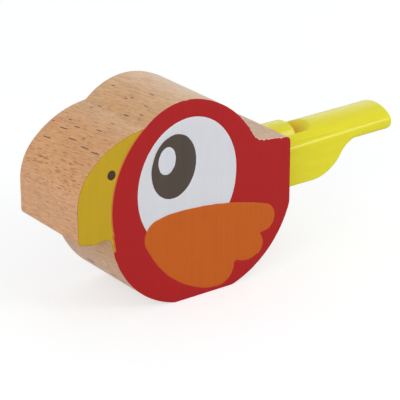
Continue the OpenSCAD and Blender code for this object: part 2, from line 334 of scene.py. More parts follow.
def meeting(p, rp, q, rq):
    """Upper left point at distance rp from p and rq from q: the share of the line between
    the centres that the two distances give, then square to it by what is left of rp."""
    p, q = np.asarray(p), np.asarray(q)
    gap = np.linalg.norm(q - p)
    share = (rp * rp - rq * rq + gap * gap) / (2 * gap)
    along = (q - p) / gap
    return p + along * share + np.array([along[1], -along[0]]) * math.sqrt(rp * rp - share * share)


def even_loop(stretches, step):
    """Joins stretches into one closed line and lays points along it at an even step."""
    line = np.concatenate(stretches + [stretches[0][:1]])
    length = np.concatenate([[0], np.cumsum(np.linalg.norm(np.diff(line, axis=0), axis=1))])
    place = np.linspace(0, length[-1], round(length[-1] / step), endpoint=False)
    return np.stack([np.interp(place, length, line[:, k]) for k in (0, 1)], 1)


def outward(loop):
    """Unit normals of an anticlockwise loop: the step from the point before to the point
    after, turned a quarter turn clockwise."""
    step = np.roll(loop, -1, 0) - np.roll(loop, 1, 0)
    normal = np.stack([step[:, 1], -step[:, 0]], 1)
    return normal / np.linalg.norm(normal, axis=1, keepdims=True)


def ripple(count, waves, seed):
    """Smooth noise round a loop: sines of whole numbers of waves with seeded phases and
    strengths, brought to a peak of one."""
    random = np.random.default_rng(seed)
    number = np.asarray(waves)
    phase = random.uniform(0, 2 * math.pi, number.size)
    strength = random.uniform(0.4, 1, number.size)
    turn = 2 * math.pi * np.outer(np.arange(count) / count, number)
    wave = (strength * np.sin(turn + phase)).sum(1)
    return wave / np.abs(wave).max()


def bird_outline():
    """The sawn outline, anticlockwise from the tail end of the base: arcs joined by straight
    stretches, where each hollow corner is an arc that touches the two stretches beside it."""
    nape = np.array(NAPE)
    crown = np.radians(CROWN_ANGLE)
    bend = np.radians(BEAK_BEND)
    forehead = nape + (NAPE_R - FOREHEAD_R) * np.array([np.cos(crown), np.sin(crown)])
    front = np.array([BEAK_X + BEAK_FRONT_R, BEAK_TURN_Z])
    ridge = front - (BEAK_RIDGE_R - BEAK_FRONT_R) * np.array([np.cos(bend), np.sin(bend)])
    beak_corner = (BEAK_X + BEAK_CORNER_R, BEAK_Z + BEAK_CORNER_R)
    fall = math.radians(TAIL_FALL)
    along = np.array([-math.cos(fall), math.sin(fall)])
    up = np.array([math.sin(fall), math.cos(fall)])
    tail_corner = np.array([TAIL_X - TAIL_CORNER_R, TAIL_Z - TAIL_CORNER_R * math.cos(fall)])
    over = tail_corner + up * (TAIL_CORNER_R + TAIL_HOLLOW_R)
    hollow = over + along * reach(over - nape, along, NAPE_R + TAIL_HOLLOW_R)
    brow = meeting(forehead, FOREHEAD_R + BROW_R, ridge, BEAK_RIDGE_R + BROW_R)
    # The underside falls a little from the corner to the jaw, along the line that touches both
    tilt = math.asin((JAW_R - BEAK_CORNER_R) / math.dist(beak_corner, JAW))
    jaw_turn = 270 + heading(beak_corner, JAW) - math.degrees(tilt)
    throat = meeting(JAW, JAW_R + THROAT_R, BELLY, BELLY_R + THROAT_R)
    tail_turn = -math.degrees(math.acos((TAIL_X - CHEST[0]) / CHEST_R))
    return even_loop([
        arc(CHEST, CHEST_R, level_angle(CHEST, CHEST_R, 0), tail_turn),
        arc(tail_corner, TAIL_CORNER_R, 0, 90 - TAIL_FALL),
        arc(hollow, TAIL_HOLLOW_R, 270 - TAIL_FALL, heading(hollow, NAPE)),
        arc(NAPE, NAPE_R, heading(NAPE, hollow), CROWN_ANGLE),
        arc(forehead, FOREHEAD_R, CROWN_ANGLE, heading(forehead, brow)),
        arc(brow, BROW_R, heading(brow, forehead), heading(brow, ridge)),
        arc(ridge, BEAK_RIDGE_R, heading(ridge, brow), BEAK_BEND),
        arc(front, BEAK_FRONT_R, BEAK_BEND, 180),
        arc(beak_corner, BEAK_CORNER_R, 180, jaw_turn),
        arc(JAW, JAW_R, jaw_turn, heading(JAW, throat)),
        arc(throat, THROAT_R, heading(throat, JAW), heading(throat, BELLY)),
        arc(BELLY, BELLY_R, heading(BELLY, throat), 180 - level_angle(BELLY, BELLY_R, 0)),
    ], FINE)


OUTLINE = bird_outline()


def oval_line(shape, seed):
    """A leaning oval: half width times cosine and half height times sine, turned by the
    lean, with the ripple of a printed edge."""
    x, z, half_w, half_h, lean = shape
    count = round(math.pi * (half_w + half_h) / PRINT_FINE)
    angle = np.linspace(0, 2 * math.pi, count, endpoint=False)
    grow = 1 + INK_WANDER / half_w * ripple(count, range(3, 14), seed)
    across, upright = half_w * np.cos(angle) * grow, half_h * np.sin(angle) * grow
    turn = math.radians(-lean)
    return np.stack([x + across * math.cos(turn) - upright * math.sin(turn),
                     z + across * math.sin(turn) + upright * math.cos(turn)], 1)


# Meshes

def new_piece(name, points, *face_sets):
    """A mesh object from an array of points in millimetres and arrays of face corners."""
    mesh = bpy.data.meshes.new(name)
    mesh.from_pydata(points.tolist(), [], [face for faces in face_sets for face in faces.tolist()])
    piece = bpy.data.objects.new(name, mesh)
    bpy.context.scene.collection.objects.link(piece)
    return piece


def close_up(piece, weld=1e-4):
    """Welds seams and poles, drops faces with no area and turns all faces outwards."""
    work = bmesh.new()
    work.from_mesh(piece.data)
    bmesh.ops.remove_doubles(work, verts=work.verts, dist=weld)
    bmesh.ops.dissolve_degenerate(work, dist=weld, edges=work.edges)
    bmesh.ops.recalc_face_normals(work, faces=work.faces)
    work.to_mesh(piece.data)
    work.free()
    return piece


def finish_piece(piece, material, sharp=35):
    """Brings a piece from millimetres to metres, shades it smooth between edges sharper
    than an angle, and gives it its material."""
    piece.data.transform(Matrix.Scale(MM, 4))
    smooth = np.ones(len(piece.data.polygons), bool)
    piece.data.polygons.foreach_set("use_smooth", smooth)
    piece.data.set_sharp_from_angle(angle=math.radians(sharp))
    piece.data.materials.clear()
    piece.data.materials.append(material)
    return piece


def grid_faces(rows, cols, wrap_rows=False, wrap_cols=False):
    """Corner numbers of the four-sided cells of a grid of points, row after row."""
    row = np.arange(rows if wrap_rows else rows - 1)
    col = np.arange(cols if wrap_cols else cols - 1)
    a, b = np.meshgrid(row, col, indexing="ij")
    up, right = (a + 1) % rows, (b + 1) % cols
    corners = [a * cols + b, up * cols + b, up * cols + right, a * cols + right]
    return np.stack(corners, -1).reshape(-1, 4)


def loft(name, rings):
    """Rings of points (ring, point, xyz) joined one to the next, with a face on each end."""
    count, size = rings.shape[:2]
    ends = np.stack([np.arange(size), (count - 1) * size + np.arange(size)])
    faces = grid_faces(count, size, wrap_cols=True)
    return close_up(new_piece(name, rings.reshape(-1, 3), faces, ends))


def prism(name, outline, low_y, high_y):
    """An upright outline carried straight across the thickness."""
    ends = [np.insert(outline, 1, y, axis=1) for y in (low_y, high_y)]
    return loft(name, np.stack(ends))


def box(name, low, high):
    """A plain box between two corners, as an upright outline carried across."""
    corners = np.array([[low[0], low[2]], [high[0], low[2]], [high[0], high[2]], [low[0], high[2]]])
    return prism(name, corners, low[1], high[1])


def rod(name, low_x, high_x, centre_z, radius, sides=96):
    """A round rod along the whistle: a circle across it, carried along."""
    angle = np.linspace(0, 2 * math.pi, sides, endpoint=False)
    ring = np.stack([np.zeros(sides), radius * np.cos(angle), centre_z + radius * np.sin(angle)], 1)
    return loft(name, np.stack([ring + [low_x, 0, 0], ring + [high_x, 0, 0]]))


def combine(piece, tool, operation):
    """Cuts a tool from a piece or joins it on, and removes the tool."""
    modifier = piece.modifiers.new(operation, "BOOLEAN")
    modifier.operation = operation
    modifier.solver = "EXACT"
    modifier.object = tool
    graph = bpy.context.evaluated_depsgraph_get()
    result = bpy.data.meshes.new_from_object(piece.evaluated_get(graph))
    piece.modifiers.clear()
    piece.data = result
    bpy.data.objects.remove(tool)
    return piece


# The wooden block

def beech_block():
    """The outline carried across the thickness. The section is straight with a quarter
    round at each end; each point is the outline less its normal times the section's inset
    and a slight sanded unevenness. Each flat face closes in rings that shrink to a point."""
    count = len(OUTLINE)
    turn = np.radians(np.linspace(0, 90, 5))
    corner_in = EASE * (1 - np.sin(turn))
    corner_y = FACE_Y - EASE * (1 - np.cos(turn))
    side_y = np.linspace(-corner_y[-1], corner_y[-1], 17)[1:-1]
    y = np.concatenate([-corner_y, side_y, corner_y[::-1]])
    inset = np.concatenate([corner_in, np.zeros(side_y.size), corner_in[::-1]])
    sanded = SANDING * (1 + ripple(count, range(5, 40), 3)) / 2
    bow = np.cos(np.pi * y / (2 * FACE_Y))
    depth = inset[:, None] + sanded[None] * (0.4 + 0.6 * bow[:, None])
    skin = OUTLINE[None] - outward(OUTLINE)[None] * depth[..., None]
    middle = np.array([BLOCK_LOW[0] + BLOCK_HIGH[0], BLOCK_HIGH[2]]) / 2
    shares = np.array(FACE_SHARES)[:, None, None]
    near = middle + (skin[0][None] - middle) * shares
    far = middle + (skin[-1][None] - middle) * shares[::-1]
    rows = np.concatenate([near, skin, far])
    flat_y = np.full(len(FACE_SHARES), FACE_Y)
    row_y = np.concatenate([-flat_y, y, flat_y])
    across = np.broadcast_to(row_y[:, None], rows.shape[:2])
    points = np.stack([rows[..., 0], across, rows[..., 1]], -1)
    faces = grid_faces(len(points), count, wrap_cols=True)
    block = close_up(new_piece("beech_block", points.reshape(-1, 3), faces))
    socket = rod("socket", TAIL_X - SOCKET_DEEP, TAIL_X + OVERRUN, SOCKET_Z, SOCKET_R)
    return combine(block, socket, "DIFFERENCE")


# The print

def inside(loop, points):
    """Whether points lie in a loop: whether a line to the right of each crosses it an odd
    number of times."""
    x, z = points[:, 0, None], points[:, 1, None]
    x1, z1 = loop[None, :, 0], loop[None, :, 1]
    x2, z2 = np.roll(loop, -1, 0).T[:, None]
    spans = (z1 > z) != (z2 > z)
    rise = np.where(z2 == z1, 1, z2 - z1)
    crosses = spans & (x < (x2 - x1) * (z - z1) / rise + x1)
    return crosses.sum(1) % 2 == 1


def ragged(loop, seed):
    """How far the print has chipped back at each point of the outline: a jagged line between
    seeded heights, strong along the top of the tail, weaker over the nape, faint elsewhere."""
    random = np.random.default_rng(seed)
    share = np.arange(len(loop)) / len(loop)
    teeth = random.uniform(0, 1, CHIP_TEETH)
    jag = np.interp(share * teeth.size, np.arange(teeth.size + 1), np.append(teeth, teeth[0]))
    x, z = loop.T
    on_tail = ((x > CHIP_TAIL_X) & (x < TAIL_X - CHIP_STOP) & (z > CHIP_TAIL_Z)).astype(float)
    on_nape = np.clip((x - CHIP_NAPE_X) / CHIP_NAPE_RUN, 0, 1) * ((z > CHIP_NAPE_Z) & (x <= CHIP_TAIL_X))
    spots = np.clip(ripple(len(loop), range(7, 60), seed + 1) - CHIP_SPOT_LEVEL, 0, 1)
    return on_tail * CHIP_TAIL * jag ** 2 + on_nape * CHIP_NAPE * jag ** 2 + CHIP_SPOT * spots * jag


def cheek_line():
    """The line between beak and red: the arc of the cheek from above the brow down to the
    throat, then a slight turn outwards past the outline, closed far ahead of the beak."""
    upper = arc(CHEEK, CHEEK_R, *CHEEK_TURNS, PRINT_FINE)
    count = len(upper)
    upper = upper + outward(upper) * INK_WANDER * ripple(count, range(2, 12), 21)[:, None]
    ahead = BEAK_X - CHEEK_AHEAD
    closing = [(ahead, CHEEK_END[-1][1]), (ahead, CHEEK_OVER_Z)]
    return np.concatenate([upper[1:-1], CHEEK_END, closing])


def print_lines():
    """Every line of the print as a closed loop of points."""
    edge = PRINT_EDGE + 0.03 * ripple(len(OUTLINE), range(11, 90), 8) + ragged(OUTLINE, 14)
    border = OUTLINE - outward(OUTLINE) * edge[:, None]
    wing = even_loop([arc((WING[0] + WING_R * x, WING[1] + WING_R * z), WING_R * r, start, end)
                      for x, z, r, start, end in WING_SHARES], PRINT_FINE)
    wing = wing + outward(wing) * INK_WANDER * ripple(len(wing), range(5, 40), 13)[:, None]
    nostril = (*NOSTRIL, NOSTRIL_R, NOSTRIL_R * 1.06, 0)
    return {"border": border, "cheek": cheek_line(), "wing": wing,
            "eye": oval_line(EYE, 14), "pupil": oval_line(PUPIL, 15),
            "glint": oval_line(GLINT, 16), "nostril": oval_line(nostril, 17)}


def print_map(lines):
    """Points and triangles of the whole printed face, cut along every line, and for each
    ink whether a triangle is its own. Beside each line lies a row of points on both
    sides, a slope's width away, so that the ink rolls off only there."""
    sides = [loop + outward(loop) * shift
             for loop in lines.values() for shift in (-INK_SLOPE, INK_SLOPE)]
    x, z = np.meshgrid(np.arange(BEAK_X, TAIL_X, FILL_STEP),
                       np.arange(FILL_LOW_Z, BLOCK_HIGH[2], FILL_STEP), indexing="ij")
    fill = np.stack([x + FILL_STEP / 2 * (np.arange(x.shape[1]) % 2)[None], z], -1).reshape(-1, 2)
    loops = list(lines.values())
    points = np.concatenate(loops + sides + [fill])
    start = np.cumsum([0] + [len(loop) for loop in loops])
    edges = np.concatenate([
        np.stack([first + np.arange(len(loop)), first + (np.arange(len(loop)) + 1) % len(loop)], 1)
        for first, loop in zip(start, loops)])
    cut = delaunay_2d_cdt(points.tolist(), edges.tolist(), [], 0, 1e-5, False)
    points, triangles = np.array([tuple(p) for p in cut[0]]), np.array(cut[2])
    middle = points[triangles].mean(1)
    within = {name: inside(loop, middle) for name, loop in lines.items()}
    printed, ahead, wing = within["border"], within["cheek"], within["wing"]
    eye, pupil, glint, nostril = (within[name] for name in ("eye", "pupil", "glint", "nostril"))
    return points, triangles, {
        "red": printed & ~ahead & ~eye & ~wing,
        "beak": printed & ahead & ~nostril,
        "nostril": nostril,
        "eye": eye & ~wing & ~pupil,
        "pupil": pupil & ~glint,
        "glint": glint,
        "wing": wing}


def ink_film(name, points, triangles, side):
    """A thin closed layer of ink on one face: its triangles at full height, lower along its
    rim, the same triangles on the wood, and a wall along each edge that only one has."""
    used, corners = np.unique(triangles, return_inverse=True)
    corners = corners.reshape(-1, 3)
    count = len(used)
    edges = corners[:, [0, 1, 1, 2, 2, 0]].reshape(-1, 2)
    key = np.sort(edges, 1) @ [count, 1]
    _, first, times = np.unique(key, return_index=True, return_counts=True)
    rim = edges[first[times == 1]]
    height = np.full(count, FILM)
    height[np.unique(rim)] = FILM * INK_RIM_SHARE
    flat = points[used]
    top = np.stack([flat[:, 0], side * (FACE_Y + height), flat[:, 1]], 1)
    base = np.stack([flat[:, 0], np.full(count, side * FACE_Y), flat[:, 1]], 1)
    walls = np.stack([rim[:, 0], rim[:, 1], rim[:, 1] + count, rim[:, 0] + count], 1)
    piece = new_piece(name, np.concatenate([top, base]), corners, corners[:, ::-1] + count, walls)
    return close_up(piece, 1e-6)


# The whistle

def side_edge_z(x):
    """Height of the side edge of the arched top: a straight rise from tail to tip."""
    return EDGE_TAIL_Z + (EDGE_TIP_Z - EDGE_TAIL_Z) * (x - TAIL_X) / (TIP_X - TAIL_X)


def half_width(x):
    """Half the width: full, with a quarter round at the tip in the plan view."""
    return HALF_W - TIP_SIDE_R + quarter(x, TIP_X, TIP_SIDE_R)


def arch_section(x):
    """For stations along the whistle: radius of the arch that runs through the crest and
    the side edges, the height of the centre of the small round that joins the arch to the
    upright side, its first angle, its angle at the seam, and how far out the arch itself
    meets the seam."""
    rise = MOUTH_Z - side_edge_z(x)
    radius = (HALF_W ** 2 + rise ** 2) / (2 * rise)
    round_y = HALF_W - SIDE_R
    round_up = np.sqrt((radius - SIDE_R) ** 2 - round_y ** 2)
    round_z = MOUTH_Z - radius + round_up
    seam_turn = np.arcsin(np.clip((SEAM_Z - round_z) / SIDE_R, -1, 1))
    arch_y = np.sqrt(np.clip(radius ** 2 - (SEAM_Z - MOUTH_Z + radius) ** 2, 0, None))
    return radius, round_z, np.arctan2(round_up, round_y), seam_turn, arch_y


def lower_z(x):
    """Height of the underside: level, up the round end of the belly, round the hollow chin
    and level again, with a quarter round at the tip."""
    on_round = ROUND[1] - np.sqrt(np.clip(ROUND_R ** 2 - (x - ROUND[0]) ** 2, 0, None))
    on_chin = CHIN[1] + np.sqrt(np.clip(CHIN_R ** 2 - (x - CHIN[0]) ** 2, 0, None))
    turn_x = ROUND[0] + ROUND_R * math.cos(math.radians(heading(ROUND, CHIN)))
    z = np.where(x < turn_x, on_round, np.where(x < CHIN[0], on_chin, MOUTH_LOW_Z))
    z = np.where(x < ROUND[0], BELLY_Z, z)
    return z + TIP_LOW_R - quarter(x, TIP_X, TIP_LOW_R)


def tip_stations(radius):
    """Places along the last quarter round before the tip."""
    return TIP_X - radius * (1 - np.sin(np.radians(np.linspace(0, 90, 9))))


def lower_hull():
    """Closed rings across the whistle, from the seam down one side, round the lower corner,
    under and up the other side, one ring for each station from the tail to the tip."""
    belly = arc(ROUND, ROUND_R, 270, heading(ROUND, CHIN), 0.5)[:, 0]
    chin = arc(CHIN, CHIN_R, heading(CHIN, ROUND), 90, 0.5)[1:, 0]
    x = np.concatenate([[TAIL_X], BELLY_STATIONS, belly, chin, MOUTH_STATIONS, tip_stations(TIP_LOW_R)])
    low = lower_z(x)
    _, round_z, start, seam_turn, arch_y = arch_section(x)
    fillet = np.minimum(seam_turn, start)[:, None] * np.linspace(1, 0, 6)[None]
    width = half_width(x)[:, None]
    on_arch_y = HALF_W - SIDE_R + SIDE_R * np.cos(fillet)
    top_y = on_arch_y * width / HALF_W
    top_z = round_z[:, None] + SIDE_R * np.sin(fillet)
    # Where the small round lies under the seam, the arch itself is cut by the seam
    seam_y = np.where(round_z + SIDE_R * np.sin(start) < SEAM_Z, arch_y, on_arch_y[:, 0]) - PARTING
    grown = soft((x - CHIN[0] + CORNER_LEAD) / CORNER_RUN)
    corner_r = BELLY_CORNER_R + (MOUTH_CORNER_R - BELLY_CORNER_R) * grown
    corner_r = np.minimum(corner_r, (round_z - low) * CORNER_SHARE)
    down = np.linspace(0, 1, 6)[None, 1:-1]
    corner_top = (low + corner_r)[:, None]
    side_z = round_z[:, None] + (corner_top - round_z[:, None]) * down
    bend = np.radians(np.linspace(0, 90, 7))[None]
    corner_y = width - corner_r[:, None] * (1 - np.cos(bend))
    corner_z = corner_top - corner_r[:, None] * np.sin(bend)
    under_y = corner_y[:, -1:] * np.array([[0.75, 0.5, 0.25, 0]])
    y = np.concatenate([(seam_y * width[:, 0] / HALF_W)[:, None], top_y,
                        np.broadcast_to(width, side_z.shape), corner_y, under_y], 1)
    z = np.concatenate([np.full((x.size, 1), SEAM_Z), top_z, side_z,
                        corner_z, np.broadcast_to(low[:, None], under_y.shape)], 1)
    half = np.stack([np.broadcast_to(x[:, None], y.shape), y, z], -1)
    other = half[:, -2::-1] * [1, -1, 1]
    return loft("whistle_base", np.concatenate([half, other], 1))


def core_outline():
    """The hollow in the belly under the windway: along the belly and the chin a wall's
    thickness in, up to the plate, and back round the chamber's own wall."""
    plate_z = PLATE_LOW[2]
    ring = CHAMBER_R + CHAMBER_WALL
    ring_turns = [level_angle(CHAMBER, ring, z) for z in (plate_z, BELLY_Z + SHELL_WALL)]
    chin_r = CHIN_R + SHELL_WALL
    chin_end = 180 - level_angle(CHIN, chin_r, plate_z)
    return np.concatenate([
        arc(ROUND, ROUND_R - SHELL_WALL, 270, heading(ROUND, CHIN), 0.6),
        arc(CHIN, chin_r, heading(CHIN, ROUND), chin_end, 0.6),
        arc(CHAMBER, ring, *ring_turns, 0.6)])


def whistle_base():
    """The lower shell: the outer hull with a hollow tenon joined on, less the chamber, its
    opening, the hollow of the belly and the channel of the windway."""
    shell = lower_hull()
    over = SEAM_Z + OVERRUN
    tenon_end = TAIL_X - TENON_LEN
    combine(shell, rod("tenon", tenon_end, TAIL_X + TENON_ROOT, SOCKET_Z, TENON_R), "UNION")
    cuts = [
        rod("bore", tenon_end - OVERRUN, TAIL_X, SOCKET_Z, TENON_BORE_R),
        prism("chamber", arc(CHAMBER, CHAMBER_R, 0, 360, 0.4)[:-1], -INNER_Y, INNER_Y),
        box("mouth", (CHAMBER[0] - CHAMBER_R / 2, -INNER_Y, CHAMBER[1]), (SLOPE_X, INNER_Y, over)),
        prism("core", core_outline(), -INNER_Y, INNER_Y),
        box("plate_bed", (SLOPE_X - CLEAR, -SLOT_Y, PLATE_LOW[2]),
            (PLATE_HIGH[0] + PLATE_PLAY, SLOT_Y, over)),
        box("slot", (PLATE_HIGH[0], -SLOT_Y, SLOT_Z), (TIP_X + OVERRUN, SLOT_Y, over))]
    for tool in cuts:
        combine(shell, tool, "DIFFERENCE")
    return close_up(shell)


def hooded(x, y, z):
    """A sheet raised to the hood, which is a second, higher arch over the middle. It eases
    down at its sides, and its end rolls over a quarter round."""
    rise = HOOD_Z - HOOD_SIDE_Z
    radius = (HOOD_SIDE_Y ** 2 + rise ** 2) / (2 * rise)
    across = np.clip(y, 0, HOOD_SIDE_Y + 1)
    top = HOOD_Z - radius + np.sqrt(radius ** 2 - across ** 2)
    rolled = (HOOD_RIM_R - quarter(x, WINDOW_X - HOOD_BACK, HOOD_RIM_R))[:, None]
    beside = soft((HOOD_SIDE_Y + HOOD_FOOT - y) / HOOD_FOOT_EASE)
    raised = z + np.maximum(top - z - rolled, 0) * beside
    return np.where((x < WINDOW_X)[:, None], raised, z)


def sloped(x, y, z):
    """A sheet sunk along the slope that leads down into the window, with eased sides: lower
    by the softened depth under the sheet times a soft share across."""
    slope_z = LIP_Z + (x - SLOPE_X)[:, None] * (MOUTH_Z - LIP_Z) / SLOPE_LEN
    depth = z - slope_z
    eased = (depth + np.sqrt(depth ** 2 + SLOPE_SOFT)) / 2
    sunk = z - eased * soft((WINDOW_Y - y) / SCOOP_EASE)
    return np.where((x >= SLOPE_X - 0.001)[:, None] & (y < WINDOW_Y), sunk, z)


def whistle_top():
    """The upper shell as two sheets over one grid of stations along and places across.
    The top sheet is the arch, with the hood raised from it and the slope sunk into it. The
    bottom sheet is level, with a blade under the hood. The window is left out of the grid."""
    blade_x = WINDOW_X - BLADE_THICK
    scoop_y = WINDOW_Y - SCOOP_EASE
    roll = np.radians(np.linspace(0, 90, 8))
    x = np.concatenate([
        [TAIL_X], HOOD_STATIONS, [blade_x - 2 * CLEAR, blade_x],
        WINDOW_X - HOOD_BACK - HOOD_RIM_R * (1 - np.sin(roll)),
        [WINDOW_X], WINDOW_STATIONS, np.arange(SLOPE_X, SLOPE_STATIONS_END, 0.2),
        np.arange(45, 66, 1.5), tip_stations(TIP_SIDE_R)])
    inner = np.concatenate([
        np.arange(0, scoop_y, 0.45), np.linspace(scoop_y, WINDOW_Y, 6),
        WINDOW_Y + np.array(WINDOW_ROWS), ARCH_ROWS])
    radius, round_z, start, seam_turn, arch_y = arch_section(x)
    # Where the small round lies under the seam, the arch runs on to the seam by itself
    under = (round_z + SIDE_R * np.sin(start) < SEAM_Z)[:, None]
    end = np.maximum(seam_turn, 0)
    angle = start[:, None] + (end - start)[:, None] * np.linspace(0, 1, 8)[None]
    round_y = HALF_W - SIDE_R + SIDE_R * np.cos(angle)
    reach_y = np.minimum(arch_y, round_y[:, 0])[:, None]
    arch_part_y = inner[-1] + (reach_y - inner[-1]) * np.linspace(0, 1, 5)[None, 1:]
    curve_y = np.where(under, arch_y[:, None], round_y)
    curve_z = np.where(under, SEAM_Z, round_z[:, None] + SIDE_R * np.sin(angle))
    y_in = np.concatenate([np.broadcast_to(inner, (x.size, inner.size)), arch_part_y], 1)
    z_in = MOUTH_Z - radius[:, None] + np.sqrt(radius[:, None] ** 2 - y_in ** 2)
    half_y = np.concatenate([y_in, curve_y[:, 1:], curve_y[:, -1:] - PARTING], 1)
    half_z = np.concatenate([z_in, curve_z[:, 1:], np.full((x.size, 1), SEAM_Z)], 1)
    half_z = sloped(x, half_y, hooded(x, half_y, np.maximum(half_z, SEAM_Z)))
    # The rolled end at the tip
    left = 1 - TIP_DROP_SHARE + TIP_DROP_SHARE * quarter(x, TIP_X, TIP_TOP_R) / TIP_TOP_R
    half_z = SEAM_Z + (half_z - SEAM_Z) * left[:, None]
    half_y = half_y * (half_width(x) / HALF_W)[:, None]
    y = np.concatenate([-half_y[:, :0:-1], half_y], 1)
    z = np.concatenate([half_z[:, :0:-1], half_z], 1)
    under_blade = ((x >= blade_x) & (x < WINDOW_X))[:, None] & (np.abs(y) < WINDOW_Y - CLEAR)
    bottom = np.where(under_blade, BLADE_Z, SEAM_Z)
    along = np.broadcast_to(x[:, None], y.shape)
    middle_x = (x[1:] + x[:-1]) / 2
    middle_y = (y[:-1, 1:] + y[:-1, :-1]) / 2
    window = ((middle_x > WINDOW_X) & (middle_x < SLOPE_X))[:, None] & (np.abs(middle_y) < WINDOW_Y)
    sheets = [np.stack([along, y, height], -1) for height in (z, bottom)]
    return two_sheets("whistle_top", *sheets, ~window)


def two_sheets(name, top, bottom, keep):
    """A closed wall between two grids of points: the kept cells of both, and upright cells
    wherever a kept cell borders on one left out or on the end of the grid."""
    rows, cols = top.shape[:2]
    cells = grid_faces(rows, cols)[keep.ravel()]
    number = np.arange(rows * cols).reshape(rows, cols)
    padded = np.pad(keep, 1)
    across = padded[1:-1, 1:] != padded[1:-1, :-1]
    along = padded[1:, 1:-1] != padded[:-1, 1:-1]
    sides = np.concatenate([
        np.stack([number[:-1][across], number[1:][across]], 1),
        np.stack([number[:, :-1][along], number[:, 1:][along]], 1)])
    shift = rows * cols
    walls = np.stack([sides[:, 0], sides[:, 1], sides[:, 1] + shift, sides[:, 0] + shift], 1)
    points = np.concatenate([top.reshape(-1, 3), bottom.reshape(-1, 3)])
    return close_up(new_piece(name, points, cells, cells[:, ::-1] + shift, walls))


def windway_plate():
    """A flat plate whose upright outline has small rounded corners, carried across."""
    low, high, r = PLATE_LOW, PLATE_HIGH, PLATE_CORNER_R
    corners = ((high[0] - r, low[2] + r), (high[0] - r, high[2] - r),
               (low[0] + r, high[2] - r), (low[0] + r, low[2] + r))
    outline = [arc(corner, r, 90 * turn - 90, 90 * turn) for turn, corner in enumerate(corners)]
    return prism("windway_insert", np.concatenate(outline), low[1], high[1])


def cork_ball():
    """A ball on a grid of turn and tilt, whose radius sinks a little where several slanted
    waves add up, as cork is pitted."""
    centre = (PEA_LOW + PEA_HIGH) / 2
    radius = (PEA_HIGH[2] - PEA_LOW[2]) / 2
    rows, cols = CORK_GRID
    tilt, turn = np.meshgrid(np.linspace(0, math.pi, rows), np.linspace(0, 2 * math.pi, cols),
                             indexing="ij")
    way = np.stack([np.sin(tilt) * np.cos(turn), np.sin(tilt) * np.sin(turn), np.cos(tilt)], -1)
    random = np.random.default_rng(11)
    waves = random.normal(0, CORK_FINE, (CORK_WAVES, 3))
    pits = np.sin(way @ waves.T + random.uniform(0, 6, CORK_WAVES)).mean(-1)
    sink = CORK_PIT * np.clip(pits + 0.1, 0, 1)
    points = centre + way * (radius - sink)[..., None]
    return close_up(new_piece("cork_pea", points.reshape(-1, 3), grid_faces(rows, cols)), 1e-3)


# Materials

def paint(red, green, blue):
    """A colour given as a screen shows it, from 0 to 255, as the linear colour of a node."""
    share = np.array([red, green, blue]) / 255
    linear = np.where(share <= 0.04045, share / 12.92, ((share + 0.055) / 1.055) ** 2.4)
    return (*linear.tolist(), 1)


def add(tree, kind, inputs=None, **settings):
    """Adds one node. Inputs are values, or the sockets that feed them."""
    node = tree.nodes.new("ShaderNode" + kind)
    for name, value in settings.items():
        setattr(node, name, value)
    for name, value in (inputs or {}).items():
        if isinstance(value, bpy.types.NodeSocket):
            tree.links.new(value, node.inputs[name])
        else:
            node.inputs[name].default_value = value
    return node


def maths(tree, operation, first, second=0.0):
    """The result of one operation on two values."""
    return add(tree, "Math", {0: first, 1: second}, operation=operation).outputs[0]


def product(tree, *parts):
    """Values multiplied one after another."""
    result = parts[0]
    for part in parts[1:]:
        result = maths(tree, "MULTIPLY", result, part)
    return result


def between(tree, value, low, high, to_low=0.0, to_high=1.0):
    """Brings a value from one span to another with a soft start and end, and holds it there."""
    inputs = {"Value": value, "From Min": low, "From Max": high, "To Min": to_low, "To Max": to_high}
    return add(tree, "MapRange", inputs, interpolation_type="SMOOTHSTEP").outputs[0]


def mixed(tree, share, first, second, way="MIX"):
    """A colour part of the way from the first to the second."""
    inputs = {0: share, 6: first, 7: second}
    return add(tree, "Mix", inputs, data_type="RGBA", blend_type=way).outputs[2]


def in_millimetres(tree):
    """The three object coordinates in millimetres."""
    place = add(tree, "SeparateXYZ", {"Vector": add(tree, "TexCoord").outputs["Object"]})
    return [maths(tree, "DIVIDE", place.outputs[k], MM) for k in range(3)]


def in_cells(tree, size_mm, offset=(0, 0, 0)):
    """Object coordinates counted in cells of a size in millimetres, moved by an offset."""
    place = add(tree, "TexCoord").outputs["Object"]
    scale = tuple(1 / (k * MM) for k in size_mm)
    return add(tree, "Mapping", {"Vector": place, "Location": offset, "Scale": scale}).outputs[0]


def stretched(tree, across_mm, along_mm, middle=(0, 0, 0), place=None):
    """Object coordinates, or a place, in which one unit is a width across the grain and a
    length along it, from a middle in millimetres. The grain runs across the thickness of the
    block and leans a little."""
    place = place or add(tree, "TexCoord").outputs["Object"]
    scale = (across_mm * MM, along_mm * MM, across_mm * MM)
    location = tuple(MM * k for k in middle)
    inputs = {"Vector": place, "Location": location, "Rotation": GRAIN_TURN, "Scale": scale}
    return add(tree, "Mapping", inputs, vector_type="TEXTURE").outputs[0]


def noise(tree, vector, scale=1.0, detail=2.0, rough=0.5, distortion=0.0):
    """Cloud noise from 0 to 1."""
    inputs = {"Vector": vector, "Scale": scale, "Detail": detail,
              "Roughness": rough, "Distortion": distortion}
    return add(tree, "TexNoise", inputs).outputs[0]


def flecks(tree, across_mm, along_mm, size, share):
    """Short dashes along the grain: the middles of some cells of a stretched cell pattern.
    Size is their reach as a share of a cell, and share the part of the cells that has one."""
    vector = stretched(tree, across_mm, along_mm)
    cells = add(tree, "TexVoronoi", {"Vector": vector, "Scale": 1.0, "Randomness": 1.0})
    chance = add(tree, "SeparateColor", {"Color": cells.outputs["Color"]}).outputs[0]
    dash = between(tree, cells.outputs["Distance"], size, size * 0.45)
    return product(tree, dash, between(tree, chance, 1 - share, 1 - share * 0.6))


